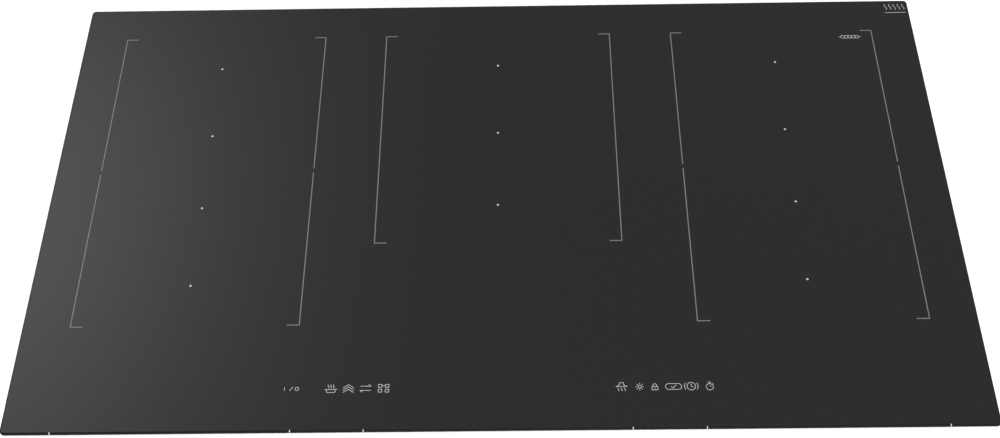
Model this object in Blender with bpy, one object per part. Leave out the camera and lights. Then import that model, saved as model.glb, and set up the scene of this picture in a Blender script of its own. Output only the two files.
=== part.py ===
"""Built-in induction hob, 90 cm wide, with five cooking zones under one black glass plate.

Frame: +X to the user's right, -Y towards the user, +Z up.  The origin is under the centre of the glass,
on the plane that the casing stands on.  Lengths are in metres.

The hob comes apart like this: the glass with its foam seal and four bonded steel rails; a stepped
sheet-steel tray; three aluminium plates with eleven oval coils on formers; one power board, heat sink
and radial fan for each of the three regions; the mains filter; the touch unit; the terminal box with
its hinged cover; and four worktop clamps, whose arms swing out and rise on their screws.
"""

import math

import bmesh
import bpy
from mathutils import Vector

# Glass plate
GLASS_WIDTH = 0.904
GLASS_DEPTH = 0.522
GLASS_THICK = 0.004
GLASS_CORNER = 0.005
GLASS_EDGE = 0.0007
HEIGHT = 0.057
GLASS_UNDER = HEIGHT - GLASS_THICK

# Gap between neighbouring pieces
GAP = 0.0003

# Edges that bend more than this are shaded sharp
SHARP_ANGLE = math.radians(32)

# Foam seal, under the rim of the glass
SEAL_INSET = 0.004
SEAL_WIDTH = 0.010
SEAL_THICK = 0.0028
SEAL_CORNER = 0.006

# Sheet-steel tray: a wide shallow pan, and a deeper belly that leaves a step along the sides and the rear
TRAY_X = 0.436
TRAY_Y = 0.235
TRAY_TOP = 0.0512
STEP_Z = 0.020
BELLY_X = 0.396
BELLY_FRONT = -0.226
BELLY_REAR = 0.186
SHEET = 0.001
TRAY_CORNER = 0.006
STEP_FLOOR = STEP_Z + SHEET

# Steel rails bonded under the glass
RAIL_SHEET = 0.0012
RAIL_FLANGE = 0.008
RAIL_DROP = 0.0147
RAIL_END = 0.0085

# Cooking regions: two side regions of four coils and a centre region of three
REGION_X = 0.2972
COIL_PITCH = 0.0922
COIL_REAR_Y = 0.1727
REGIONS = {"left": (-REGION_X, 4), "centre": (0.0, 3), "right": (REGION_X, 4)}
COIL_HALF_LENGTH = {"left": 0.100, "centre": 0.110, "right": 0.100}
COIL_RADIUS = 0.043
COIL_BORE = 0.009
COIL_THICK = 0.0035
COIL_STEPS = 10

# Heights of the coil stack, measured down from the glass
SHEET_MICA = 0.0006
MICA_TOP = GLASS_UNDER - GAP
MICA_LOW = MICA_TOP - SHEET_MICA
COIL_TOP = MICA_LOW - GAP
COIL_LOW = COIL_TOP - COIL_THICK
FORMER_THICK = 0.0021
FORMER_TOP = COIL_LOW - GAP
FORMER_LOW = FORMER_TOP - FORMER_THICK
FORMER_MARGIN = 0.0015
FERRITE_DROP = 0.0039
FERRITE_WIDTH = 0.009
PLATE_TOP = FORMER_LOW - FERRITE_DROP - GAP
PLATE_THICK = 0.0015
PLATE_LOW = PLATE_TOP - PLATE_THICK
PLATE_MARGIN = 0.004
LEG_WIDTH = 0.014

# Power modules, one in each region
BOARD_LOW = 0.006
BOARD_THICK = 0.0016
BOARD_TOP = BOARD_LOW + BOARD_THICK
BOARD_HALF_X = 0.094
BOARD_FRONT = -0.160
BOARD_REAR = 0.080
PILLAR = 0.003
SINK_HALF_X = 0.034
SINK_FRONT = -0.060
SINK_REAR = 0.076
SINK_BASE = 0.004
SINK_HEIGHT = 0.028
SINK_FINS = 9
FIN_THICK = 0.0018

# Radial fans
FAN_Y = 0.130
FAN_HALF = 0.046
FAN_LOW = SHEET + GAP
FAN_HEIGHT = 0.028
FAN_WALL = 0.002
FAN_CAVITY = 0.040
FAN_INLET = 0.030
STATOR_RADIUS = 0.009
HUB_RADIUS = 0.0125
HUB_BORE = 0.0102
ROTOR_DISC = 0.034
BLADE_INNER = 0.022
BLADE_OUTER = 0.0355
BLADE_THICK = 0.0014
BLADE_COUNT = 11
BLADE_LEAN = math.radians(32)
ROUND_STEPS = 28

# Vents: every slot is narrower than 4 mm
VENT = 0.0036
VENT_PITCH = 0.0072

# Touch unit along the front edge
TOUCH_HALF_X = 0.215
TOUCH_FRONT = -0.2254
TOUCH_REAR = -0.176
TOUCH_WALL = 0.002
TOUCH_LOW = 0.042
TOUCH_TOP = 0.0524
KEY_Y = -0.210
KEYS_X = (-0.190, -0.1536, -0.1375, -0.1216, -0.1051, 0.1132, 0.1297, 0.1436, 0.1607, 0.1769, 0.1938)

# Terminal box, under the step at the rear
BOX_X = (0.060, 0.190)
BOX_Y = (0.1875, 0.232)
BOX_LOW = 0.0033
BOX_TOP = STEP_Z - GAP
BOX_WALL = 0.002
COVER_LOW = 0.001
COVER_THICK = 0.002
HINGE_Y = 0.2315
HINGE_Z = 0.0025
BARREL = 0.0015
HINGE_PIN = 0.0008
HINGE_HOLE = 0.00115
LUG = 0.004
OUTLET_X = 0.165
OUTLET_WIDTH = 0.014
OUTLET_TOP = 0.0172

# Worktop clamps, under the step at the sides
CLAMP_X = 0.417
CLAMP_Y = {"front": -0.175, "rear": 0.120}
CLAMP_SCREW = 0.0025
CLAMP_HOLE = 0.0029
CLAMP_COLLAR = 0.006
COLLAR_TOP = STEP_FLOOR + 0.004
SCREW_HEAD = 0.0048
SCREW_HEAD_LOW = 0.0012
SCREW_HEAD_HIGH = 0.0045
SCREW_TOP = 0.030
ARM_LOW = SCREW_HEAD_HIGH + GAP
ARM_THICK = 0.002
ARM_HALF_WIDTH = 0.008
ARM_LENGTH = 0.050
ARM_PAD = 0.014
ARM_PAD_TOP = 0.010

# Colour, roughness and metallic value of each finish
FINISHES = {
    "black_glass": ((0.028, 0.028, 0.029), 0.12, 0.0),
    "foam": ((0.03, 0.03, 0.03), 0.95, 0.0),
    "steel": ((0.45, 0.46, 0.47), 0.42, 1.0),
    "zinc": ((0.55, 0.56, 0.57), 0.35, 1.0),
    "aluminium": ((0.74, 0.75, 0.76), 0.35, 1.0),
    "litz": ((0.42, 0.16, 0.06), 0.45, 0.6),
    "dark_plastic": ((0.05, 0.05, 0.055), 0.5, 0.0),
    "grey_plastic": ((0.35, 0.36, 0.37), 0.5, 0.0),
    "white_plastic": ((0.78, 0.78, 0.76), 0.5, 0.0),
    "mica": ((0.62, 0.55, 0.42), 0.7, 0.0),
    "circuit_board": ((0.05, 0.22, 0.10), 0.45, 0.0),
}


# ---------------------------------------------------------------- outlines in the XY plane

def arc(cx, cy, radius, start, end, steps):
    """Points on an arc from one angle to another, both ends included."""
    angles = [start + (end - start) * i / steps for i in range(steps + 1)]
    return [(cx + radius * math.cos(a), cy + radius * math.sin(a)) for a in angles]


def circle(cx, cy, radius, steps=ROUND_STEPS):
    return arc(cx, cy, radius, 0.0, 2 * math.pi, steps)[:-1]


def rectangle(x0, x1, y0, y1):
    return [(x0, y0), (x1, y0), (x1, y1), (x0, y1)]


def rounded(x0, x1, y0, y1, radius, steps=3):
    """Rectangle with round corners, anticlockwise from the front right corner."""
    corners = ((x1 - radius, y0 + radius), (x1 - radius, y1 - radius),
               (x0 + radius, y1 - radius), (x0 + radius, y0 + radius))
    points = []
    for turn, (cx, cy) in enumerate(corners):
        start = math.pi * (turn - 1) / 2
        points += arc(cx, cy, radius, start, start + math.pi / 2, steps)
    return points


def oval(cx, cy, half_length, radius, steps=COIL_STEPS):
    """Two half circles joined by straight sides, longer along X."""
    reach = half_length - radius
    right = arc(cx + reach, cy, radius, -math.pi / 2, math.pi / 2, steps)
    left = arc(cx - reach, cy, radius, math.pi / 2, 3 * math.pi / 2, steps)
    return right + left


# ---------------------------------------------------------------- closed shells, as (points, faces)

def loft(levels):
    """Closed shell through outlines with equally many points, each given with its height."""
    count = len(levels[0][0])
    points = [(x, y, z) for outline, z in levels for x, y in outline]
    faces = [tuple(range(count)), tuple(range(len(points) - count, len(points)))]
    for start in range(0, len(points) - count, count):
        for i in range(count):
            j = (i + 1) % count
            faces.append((start + i, start + j, start + count + j, start + count + i))
    return points, faces


def prism(outline, low, high):
    return loft([(outline, low), (outline, high)])


def block(x0, x1, y0, y1, low, high):
    return prism(rectangle(x0, x1, y0, y1), low, high)


def band(outer, inner, low, high):
    """Ring with a rectangular section between two outlines with equally many points."""
    count = len(outer)
    loops = ((outer, low), (outer, high), (inner, high), (inner, low))
    points = [(x, y, z) for outline, z in loops for x, y in outline]
    faces = []
    for loop in range(len(loops)):
        here = loop * count
        there = (loop + 1) % len(loops) * count
        for i in range(count):
            j = (i + 1) % count
            faces.append((here + i, here + j, there + j, there + i))
    return points, faces


def along_x(shell):
    """Lay a shell down: its outline moves into the YZ plane and its height runs along X."""
    points, faces = shell
    return [(h, u, v) for u, v, h in points], faces


def along_y(shell):
    """Lay a shell down: its outline moves into the XZ plane and its height runs along Y."""
    points, faces = shell
    return [(u, h, v) for u, v, h in points], faces


# ---------------------------------------------------------------- objects

def solid(name, shells, finish=None, pivot=(0.0, 0.0, 0.0)):
    """Object made of closed shells in world coordinates, with its origin at the pivot."""
    mesh = bpy.data.meshes.new(name)
    build = bmesh.new()
    offset = Vector(pivot)
    for points, faces in shells:
        corners = [build.verts.new(Vector(point) - offset) for point in points]
        for face in faces:
            build.faces.new([corners[i] for i in face])
    bmesh.ops.recalc_face_normals(build, faces=build.faces)
    build.to_mesh(mesh)
    build.free()
    item = bpy.data.objects.new(name, mesh)
    item.location = pivot
    bpy.context.scene.collection.objects.link(item)
    if finish:
        mesh.materials.append(material(name, finish))
    return item


def material(name, finish):
    colour, roughness, metallic = FINISHES[finish]
    made = bpy.data.materials.new(name)
    made.use_nodes = True
    shader = made.node_tree.nodes["Principled BSDF"]
    shader.inputs["Base Color"].default_value = (*colour, 1.0)
    shader.inputs["Roughness"].default_value = roughness
    shader.inputs["Metallic"].default_value = metallic
    made.diffuse_color = (*colour, 1.0)
    return made


def change(item, shells, operation):
    """Boolean of an object with a guide object made of shells that don't meet each other."""
    guide = solid(f"{item.name}_guide_{len(item.modifiers)}", shells)
    guide.hide_render = True
    guide.display_type = "WIRE"
    step = item.modifiers.new(operation.title(), "BOOLEAN")
    step.operation = operation
    step.solver = "EXACT"
    step.object = guide


def add(item, shells):
    change(item, shells, "UNION")


def cut(item, shells):
    change(item, shells, "DIFFERENCE")


def shade():
    """Give every piece the mesh that its Booleans make, with smooth faces and sharp edges between them."""
    graph = bpy.context.evaluated_depsgraph_get()
    pieces = [item for item in bpy.data.objects if not item.hide_render]
    meshes = [bpy.data.meshes.new_from_object(item.evaluated_get(graph), depsgraph=graph) for item in pieces]
    for item, mesh in zip(pieces, meshes):
        item.modifiers.clear()
        mesh.shade_smooth()
        mesh.set_sharp_from_angle(angle=SHARP_ANGLE)
        item.data = mesh
    for guide in [item for item in bpy.data.objects if item.hide_render]:
        bpy.data.objects.remove(guide, do_unlink=True)


# ---------------------------------------------------------------- glass, seal and rails

def make_glass():
    half_x, half_y = GLASS_WIDTH / 2, GLASS_DEPTH / 2
    full = rounded(-half_x, half_x, -half_y, half_y, GLASS_CORNER, 6)
    x, y = half_x - GLASS_EDGE, half_y - GLASS_EDGE
    ground = rounded(-x, x, -y, y, GLASS_CORNER - GLASS_EDGE, 6)
    levels = [(ground, GLASS_UNDER), (full, GLASS_UNDER + GLASS_EDGE), (full, HEIGHT - GLASS_EDGE), (ground, HEIGHT)]
    solid("glass_top", [loft(levels)], "black_glass")


def make_seal():
    x, y = GLASS_WIDTH / 2 - SEAL_INSET, GLASS_DEPTH / 2 - SEAL_INSET
    outer = rounded(-x, x, -y, y, SEAL_CORNER)
    x, y = x - SEAL_WIDTH, y - SEAL_WIDTH
    inner = rounded(-x, x, -y, y, SEAL_CORNER / 2)
    top = GLASS_UNDER - GAP
    solid("seal_gasket", [band(outer, inner, top - SEAL_THICK, top)], "foam")


def make_rails():
    """Angle section: a flange under the glass, and a skirt that the tray's wall is screwed to."""
    top = GLASS_UNDER - GAP
    low = top - RAIL_DROP
    under = top - RAIL_SHEET
    for side, facing in (("front", -1), ("rear", 1)):
        face = facing * (TRAY_Y - SHEET - GAP)
        inside, edge = face - facing * RAIL_SHEET, face - facing * RAIL_FLANGE
        section = [(face, low), (inside, low), (inside, under), (edge, under), (edge, top), (face, top)]
        reach = TRAY_X - SHEET - TRAY_CORNER
        solid(f"frame_rail_{side}", [along_x(prism(section, -reach, reach))], "steel")
    for side, facing in (("left", -1), ("right", 1)):
        face = facing * (TRAY_X - SHEET - GAP)
        inside, edge = face - facing * RAIL_SHEET, face - facing * RAIL_FLANGE
        section = [(face, low), (inside, low), (inside, under), (edge, under), (edge, top), (face, top)]
        reach = TRAY_Y - SHEET - RAIL_END
        solid(f"frame_rail_{side}", [along_y(prism(section, -reach, reach))], "steel")


# ---------------------------------------------------------------- tray

def inlet_slots(cx, cy):
    """Parallel slots in the tray's floor that together fill a circle under a fan."""
    slots = []
    rows = int(FAN_INLET / VENT_PITCH)
    for row in range(-rows, rows + 1):
        y = row * VENT_PITCH
        reach = math.sqrt(FAN_INLET ** 2 - y ** 2)
        slots.append(block(cx - reach, cx + reach, cy + y - VENT / 2, cy + y + VENT / 2, -SHEET, 2 * SHEET))
    return slots


def outlet_slots(cx):
    """Slots through the front wall of the pan and through the belly's floor, in front of a power board."""
    slots = []
    for row in range(3):
        z = STEP_FLOOR + 0.006 + row * VENT_PITCH
        for side in (-1, 1):
            x0, x1 = sorted((cx + side * 0.008, cx + side * 0.078))
            slots.append(block(x0, x1, -TRAY_Y - SHEET, -TRAY_Y + 2 * SHEET, z, z + VENT))
    for row in range(4):
        y = BOARD_FRONT - 0.012 - row * 0.010
        slots.append(block(cx - 0.035, cx + 0.035, y - VENT / 2, y + VENT / 2, -SHEET, 2 * SHEET))
    return slots


def clamp_places():
    """Name and place of each clamp, and the end it is nearer to: -1 is the front and 1 is the rear."""
    places = []
    for end, facing in (("front", -1), ("rear", 1)):
        for side, sign in (("left", -1), ("right", 1)):
            places.append((f"{end}_{side}", sign * CLAMP_X, CLAMP_Y[end], facing))
    return places


def make_tray():
    pan = rounded(-TRAY_X, TRAY_X, -TRAY_Y, TRAY_Y, TRAY_CORNER)
    x, y = TRAY_X - SHEET, TRAY_Y - SHEET
    pan_inside = rounded(-x, x, -y, y, TRAY_CORNER - SHEET)
    belly = rounded(-BELLY_X, BELLY_X, BELLY_FRONT, BELLY_REAR, TRAY_CORNER)
    x = BELLY_X - SHEET
    belly_inside = rounded(-x, x, BELLY_FRONT + SHEET, BELLY_REAR - SHEET, TRAY_CORNER - SHEET)
    tray = solid("base_tray", [prism(pan, STEP_Z, TRAY_TOP)], "zinc")
    add(tray, [prism(belly, 0.0, STEP_Z + SHEET / 2)])
    cut(tray, [prism(pan_inside, STEP_FLOOR, HEIGHT)])
    cut(tray, [prism(belly_inside, SHEET, STEP_FLOOR + SHEET)])
    collars = [prism(circle(x, y, CLAMP_COLLAR), STEP_Z + SHEET / 2, COLLAR_TOP) for _, x, y, _ in clamp_places()]
    add(tray, collars)
    holes = [prism(circle(x, y, CLAMP_HOLE), STEP_Z - SHEET, COLLAR_TOP + SHEET) for _, x, y, _ in clamp_places()]
    cut(tray, holes)
    vents = []
    for cx, _ in REGIONS.values():
        vents += inlet_slots(cx, FAN_Y) + outlet_slots(cx)
    cut(tray, vents)


# ---------------------------------------------------------------- coils

def coil_places(region):
    """Name, centre and half length of each coil of a region, counted from the rear."""
    cx, count = REGIONS[region]
    half = COIL_HALF_LENGTH[region]
    return [(f"{region}_{i + 1}", cx, COIL_REAR_Y - i * COIL_PITCH, half) for i in range(count)]


def make_coil(name, cx, cy, half):
    straight = half - COIL_RADIUS
    outer = oval(cx, cy, half, COIL_RADIUS)
    inner = oval(cx, cy, straight + COIL_BORE, COIL_BORE)
    solid(f"coil_{name}", [band(outer, inner, COIL_LOW, COIL_TOP)], "litz")


def make_former(name, cx, cy, half):
    """Plastic former: a plate, a core inside the winding, and ferrite bars across its underside."""
    radius = COIL_RADIUS + FORMER_MARGIN
    plate = prism(oval(cx, cy, half + FORMER_MARGIN, radius), FORMER_LOW, FORMER_TOP)
    former = solid(f"coil_former_{name}", [plate], "dark_plastic")
    straight = half - COIL_RADIUS
    core = COIL_BORE - 2 * GAP
    add(former, [prism(oval(cx, cy, straight + core, core, 6), FORMER_LOW + GAP, COIL_TOP)])
    bars = []
    for i in range(5):
        x = cx + straight * (i - 2) / 2
        bars.append(block(x - FERRITE_WIDTH / 2, x + FERRITE_WIDTH / 2, cy - 0.038, cy + 0.038,
                          FORMER_LOW - FERRITE_DROP, FORMER_LOW + GAP))
    add(former, bars)


def make_coil_plate(region):
    """Aluminium plate under a region's coils, on six bent legs that stand on the tray."""
    cx, count = REGIONS[region]
    half_x = COIL_HALF_LENGTH[region] + PLATE_MARGIN
    rear = COIL_REAR_Y + COIL_RADIUS
    front = COIL_REAR_Y - (count - 1) * COIL_PITCH - COIL_RADIUS
    sheet = prism(rounded(cx - half_x, cx + half_x, front, rear, PLATE_MARGIN), PLATE_LOW, PLATE_TOP)
    plate = solid(f"coil_plate_{region}", [sheet], "aluminium")
    legs = []
    for side in (-1, 1):
        edge = cx + side * half_x
        x0, x1 = sorted((edge, edge - side * PLATE_THICK))
        foot = STEP_FLOOR + GAP if max(abs(x0), abs(x1)) > BELLY_X else SHEET + GAP
        for y in (front + 0.030, (front + BELLY_REAR) / 2, BELLY_REAR - 0.020):
            legs.append(block(x0, x1, y - LEG_WIDTH / 2, y + LEG_WIDTH / 2, foot, PLATE_LOW + GAP))
    add(plate, legs)


def make_insulation():
    """One mica sheet over all the coils, between them and the glass."""
    half_x = REGION_X + COIL_HALF_LENGTH["right"]
    rear = COIL_REAR_Y + COIL_RADIUS
    front = COIL_REAR_Y - 3 * COIL_PITCH - COIL_RADIUS
    sheet = rounded(-half_x, half_x, front, rear, PLATE_MARGIN)
    solid("insulation_sheet", [prism(sheet, MICA_LOW, MICA_TOP)], "mica")


# ---------------------------------------------------------------- power modules

def on_board(cx, cy, half_x, half_y, height):
    """Component that stands on a power board, sunk into it a little."""
    return block(cx - half_x, cx + half_x, cy - half_y, cy + half_y, BOARD_TOP - GAP, BOARD_TOP + height)


def make_power_board(region):
    cx = REGIONS[region][0]
    sheet = block(cx - BOARD_HALF_X, cx + BOARD_HALF_X, BOARD_FRONT, BOARD_REAR, BOARD_LOW, BOARD_TOP)
    board = solid(f"power_board_{region}", [sheet], "circuit_board")
    parts = []
    for side in (-1, 1):
        parts.append(on_board(cx + side * 0.070, 0.045, 0.010, 0.016, 0.026))
        parts.append(on_board(cx + side * 0.070, 0.000, 0.010, 0.016, 0.026))
        parts.append(on_board(cx + side * 0.066, -0.095, 0.016, 0.014, 0.020))
        parts.append(on_board(cx + side * 0.025, -0.140, 0.012, 0.006, 0.012))
    for y in (-0.090, -0.118):
        parts.append(prism(circle(cx, y, 0.011, 16), BOARD_TOP - GAP, BOARD_TOP + 0.024))
    for x in (cx - BOARD_HALF_X + 0.008, cx + BOARD_HALF_X - 0.008):
        for y in (BOARD_FRONT + 0.008, BOARD_REAR - 0.008):
            parts.append(prism(circle(x, y, PILLAR, 8), SHEET + GAP, BOARD_LOW + GAP))
    add(board, parts)


def make_heat_sink(region):
    """Extruded aluminium comb, with its fins along the airflow."""
    cx = REGIONS[region][0]
    low = BOARD_TOP + GAP
    pitch = (2 * SINK_HALF_X - FIN_THICK) / (SINK_FINS - 1)
    comb = [(cx - SINK_HALF_X, low), (cx + SINK_HALF_X, low)]
    for fin in reversed(range(SINK_FINS)):
        x = cx - SINK_HALF_X + fin * pitch
        comb += [(x + FIN_THICK, low + SINK_HEIGHT), (x, low + SINK_HEIGHT)]
        if fin:
            comb += [(x, low + SINK_BASE), (x - pitch + FIN_THICK, low + SINK_BASE)]
    solid(f"heat_sink_{region}", [along_y(prism(comb, SINK_FRONT, SINK_REAR))], "aluminium")


def make_fan_housing(region):
    """Box with a round inlet below, an outlet towards the heat sink, and the stator under its roof."""
    cx = REGIONS[region][0]
    top = FAN_LOW + FAN_HEIGHT
    floor, roof = FAN_LOW + FAN_WALL, top - FAN_WALL
    case = rounded(cx - FAN_HALF, cx + FAN_HALF, FAN_Y - FAN_HALF, FAN_Y + FAN_HALF, 0.010)
    housing = solid(f"fan_housing_{region}", [prism(case, FAN_LOW, top)], "dark_plastic")
    cavity = circle(cx, FAN_Y, FAN_CAVITY)
    stator = circle(cx, FAN_Y, STATOR_RADIUS)
    cut(housing, [loft([(cavity, floor), (cavity, roof), (stator, roof), (stator, 0.013)])])
    cut(housing, [block(cx - 0.030, cx + 0.030, FAN_Y - FAN_HALF - FAN_WALL, FAN_Y - 0.022,
                        floor + FAN_WALL / 4, roof - FAN_WALL / 4)])
    cut(housing, [prism(circle(cx, FAN_Y, FAN_INLET), FAN_LOW - FAN_WALL, floor + FAN_WALL / 2)])


def make_fan_rotor(region):
    """Hub that runs round the stator, a disc, and blades that hang from it."""
    cx = REGIONS[region][0]
    levels = ((HUB_RADIUS, 0.0085), (HUB_RADIUS, 0.0235), (ROTOR_DISC, 0.0235), (ROTOR_DISC, 0.025),
              (HUB_BORE, 0.025), (HUB_BORE, 0.0105))
    hub = loft([(circle(cx, FAN_Y, radius), z) for radius, z in levels])
    rotor = solid(f"fan_rotor_{region}", [hub], "dark_plastic", (cx, FAN_Y, 0.0))
    blades = []
    for i in range(BLADE_COUNT):
        turn = 2 * math.pi * i / BLADE_COUNT
        root = Vector((cx + BLADE_INNER * math.cos(turn), FAN_Y + BLADE_INNER * math.sin(turn)))
        out = Vector((math.cos(turn + BLADE_LEAN), math.sin(turn + BLADE_LEAN)))
        side = Vector((-out.y, out.x)) * BLADE_THICK / 2
        tip = root + out * (BLADE_OUTER - BLADE_INNER)
        outline = [tuple(p) for p in (root - side, tip - side, tip + side, root + side)]
        blades.append(prism(outline, 0.006, 0.0239))
    add(rotor, blades)


# ---------------------------------------------------------------- mains filter and touch unit

def make_filter_board():
    low = STEP_FLOOR + 0.005
    top = low + BOARD_THICK
    board = solid("filter_board", [block(-0.060, 0.180, 0.190, 0.230, low, top)], "circuit_board")
    parts = [prism(circle(x, 0.211, 0.0115, 16), top - GAP, PLATE_LOW - 2 * GAP) for x in (0.020, 0.055)]
    for x, half_x, half_y in ((-0.040, 0.012, 0.010), (-0.010, 0.008, 0.012), (0.090, 0.013, 0.009),
                              (0.125, 0.010, 0.014), (0.158, 0.013, 0.010)):
        parts.append(block(x - half_x, x + half_x, 0.210 - half_y, 0.210 + half_y, top - GAP, top + 0.010))
    for x in (-0.055, 0.175):
        for y in (0.1945, 0.2255):
            parts.append(prism(circle(x, y, PILLAR, 8), STEP_FLOOR + GAP, low + GAP))
    add(board, parts)


def make_touch_unit():
    """Plastic carrier on six pillars, and the key and display board in it, close under the glass."""
    half_x = TOUCH_HALF_X
    case = rounded(-half_x, half_x, TOUCH_FRONT, TOUCH_REAR, 0.004)
    carrier = solid("touch_carrier", [prism(case, TOUCH_LOW, TOUCH_TOP)], "white_plastic")
    x = half_x - TOUCH_WALL
    front, rear = TOUCH_FRONT + TOUCH_WALL, TOUCH_REAR - TOUCH_WALL
    cut(carrier, [prism(rounded(-x, x, front, rear, 0.002), TOUCH_LOW + TOUCH_WALL, HEIGHT)])
    pillars = []
    for x in (-0.200, 0.0, 0.200):
        for y in (-0.214, -0.184):
            pillars.append(prism(circle(x, y, PILLAR, 8), SHEET + GAP, TOUCH_LOW + GAP))
    add(carrier, pillars)

    low = TOUCH_LOW + TOUCH_WALL + GAP
    top = low + BOARD_THICK
    margin = TOUCH_WALL + 0.001
    sheet = block(margin - half_x, half_x - margin, TOUCH_FRONT + margin, TOUCH_REAR - margin, low, top)
    board = solid("touch_board", [sheet], "circuit_board")
    parts = [prism(circle(x, KEY_Y, 0.003, 8), top - GAP, TOUCH_TOP) for x in KEYS_X]
    for i in range(5):
        x = (i - 2) * 0.036
        parts.append(block(x - 0.012, x + 0.012, -0.208, -0.196, top - GAP, TOUCH_TOP))
    add(board, parts)


# ---------------------------------------------------------------- terminal box

def make_terminal_box():
    """Box with its mouth downwards, a notch for the cord, and two lugs that hold the cover's pins."""
    (x0, x1), (y0, y1) = BOX_X, BOX_Y
    box = solid("terminal_box", [block(x0, x1, y0, y1, BOX_LOW, BOX_TOP)], "grey_plastic")
    cut(box, [block(x0 + BOX_WALL, x1 - BOX_WALL, y0 + BOX_WALL, y1 - BOX_WALL, 0.0, BOX_TOP - BOX_WALL)])
    rim = HINGE_Z + BARREL + GAP
    cut(box, [block(x0 - BOX_WALL, x1 + BOX_WALL, y1 - 2 * BOX_WALL, y1 + BOX_WALL, 0.0, rim)])
    cut(box, [block(OUTLET_X - OUTLET_WIDTH / 2, OUTLET_X + OUTLET_WIDTH / 2, y1 - 1.5 * BOX_WALL, y1 + BOX_WALL,
                    rim - BOX_WALL, OUTLET_TOP)])
    half = BARREL + 0.0001
    lugs = [block(a, a + LUG, HINGE_Y - half, HINGE_Y + half, HINGE_Z - half, rim + BOX_WALL) for a in (x0, x1 - LUG)]
    add(box, lugs)
    hole = circle(HINGE_Y, HINGE_Z, HINGE_HOLE, 12)
    cut(box, [along_x(prism(hole, x0 + 0.002, x0 + LUG + GAP)), along_x(prism(hole, x1 - LUG - GAP, x1 - 0.002))])


def make_terminal_cover():
    """Flat cover hung on a barrel with two stub pins; it opens downwards about +X."""
    (x0, x1), (y0, _) = BOX_X, BOX_Y
    mid = (x0 + x1) / 2
    top = COVER_LOW + COVER_THICK
    edge = HINGE_Y - 0.0026
    panel = prism(rounded(x0, x1, y0, edge, 0.002), COVER_LOW, top)
    cover = solid("terminal_cover", [panel], "grey_plastic", (mid, HINGE_Y, HINGE_Z))
    a, b = x0 + LUG + 0.0004, x1 - LUG - 0.0004
    add(cover, [block(a, b, edge - COVER_THICK, HINGE_Y - 0.0005, COVER_LOW + 0.0001, HINGE_Z)])
    add(cover, [along_x(prism(circle(HINGE_Y, HINGE_Z, BARREL, 16), a, b))])
    pin = circle(HINGE_Y, HINGE_Z, HINGE_PIN, 12)
    add(cover, [along_x(prism(pin, x0 + 0.0023, x1 - 0.0023))])


def make_terminal_block():
    """Six-pole terminal block under the roof of the box."""
    top = BOX_TOP - BOX_WALL - GAP
    x0, x1 = BOX_X[0] + 0.006, BOX_X[0] + 0.066
    pole = (x1 - x0 - 0.0012) / 6
    body = solid("terminal_block", [block(x0, x1, 0.197, 0.221, 0.0085, top)], "white_plastic")
    walls = [block(x0 + i * pole, x0 + i * pole + 0.0012, 0.1975, 0.2205, 0.0055, 0.009) for i in range(7)]
    add(body, walls)
    screws = []
    for i in range(6):
        x = x0 + 0.0006 + (i + 0.5) * pole
        for y in (0.2025, 0.2155):
            screws.append(prism(circle(x, y, 0.0025, 10), 0.007, 0.009))
    add(body, screws)


def make_cord_clamp():
    """Bar across the cord, on two screws that hang from the roof of the box."""
    bar = rounded(OUTLET_X - 0.015, OUTLET_X + 0.015, 0.207, 0.216, 0.002)
    clamp = solid("cord_clamp", [prism(bar, 0.0040, 0.0062)], "grey_plastic")
    top = BOX_TOP - BOX_WALL - GAP
    add(clamp, [prism(circle(OUTLET_X + dx, 0.2115, 0.0016, 10), 0.0060, top) for dx in (-0.011, 0.011)])


# ---------------------------------------------------------------- worktop clamps

def make_clamp(name, cx, cy, facing):
    """Screw up through the step, and a sheet-steel arm on it that lies along the casing at rest."""
    head = [(circle(cx, cy, SCREW_HEAD, 16), SCREW_HEAD_LOW), (circle(cx, cy, SCREW_HEAD, 16), SCREW_HEAD_HIGH),
            (circle(cx, cy, CLAMP_SCREW, 16), SCREW_HEAD_HIGH), (circle(cx, cy, CLAMP_SCREW, 16), SCREW_TOP)]
    solid(f"clamp_screw_{name}", [loft(head)], "zinc", (cx, cy, 0.0))

    inward = -facing
    start = math.pi if inward > 0 else 0.0
    end = arc(cx, cy, ARM_HALF_WIDTH, start, start + math.pi, 8)
    tip_y = cy + inward * ARM_LENGTH
    outline = end + [(end[-1][0], tip_y), (end[0][0], tip_y)]
    arm = solid(f"clamp_arm_{name}", [prism(outline, ARM_LOW, ARM_LOW + ARM_THICK)], "zinc", (cx, cy, 0.0))
    y0, y1 = sorted((tip_y, tip_y - inward * ARM_PAD))
    add(arm, [block(cx - ARM_HALF_WIDTH, cx + ARM_HALF_WIDTH, y0, y1, ARM_LOW + ARM_THICK / 2, ARM_PAD_TOP)])
    cut(arm, [prism(circle(cx, cy, CLAMP_HOLE, 16), ARM_LOW - ARM_THICK, ARM_LOW + 2 * ARM_THICK)])


def main():
    for item in list(bpy.data.objects):
        bpy.data.objects.remove(item, do_unlink=True)
    make_glass()
    make_seal()
    make_rails()
    make_tray()
    for region in REGIONS:
        make_coil_plate(region)
        for place in coil_places(region):
            make_coil(*place)
            make_former(*place)
        make_power_board(region)
        make_heat_sink(region)
        make_fan_housing(region)
        make_fan_rotor(region)
    make_insulation()
    make_filter_board()
    make_touch_unit()
    make_terminal_box()
    make_terminal_cover()
    make_terminal_block()
    make_cord_clamp()
    for name, cx, cy, facing in clamp_places():
        make_clamp(name, cx, cy, facing)
    shade()


main()
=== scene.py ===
"""Looks of the built-in induction hob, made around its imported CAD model.

Everything is in metres in the hob's own frame: +X to the right, -Y towards the user, +Z up, with the
origin under the centre of the glass on the plane that the casing stands on.
"""

import math

import bmesh
import bpy
from mathutils import Matrix, Vector


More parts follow.
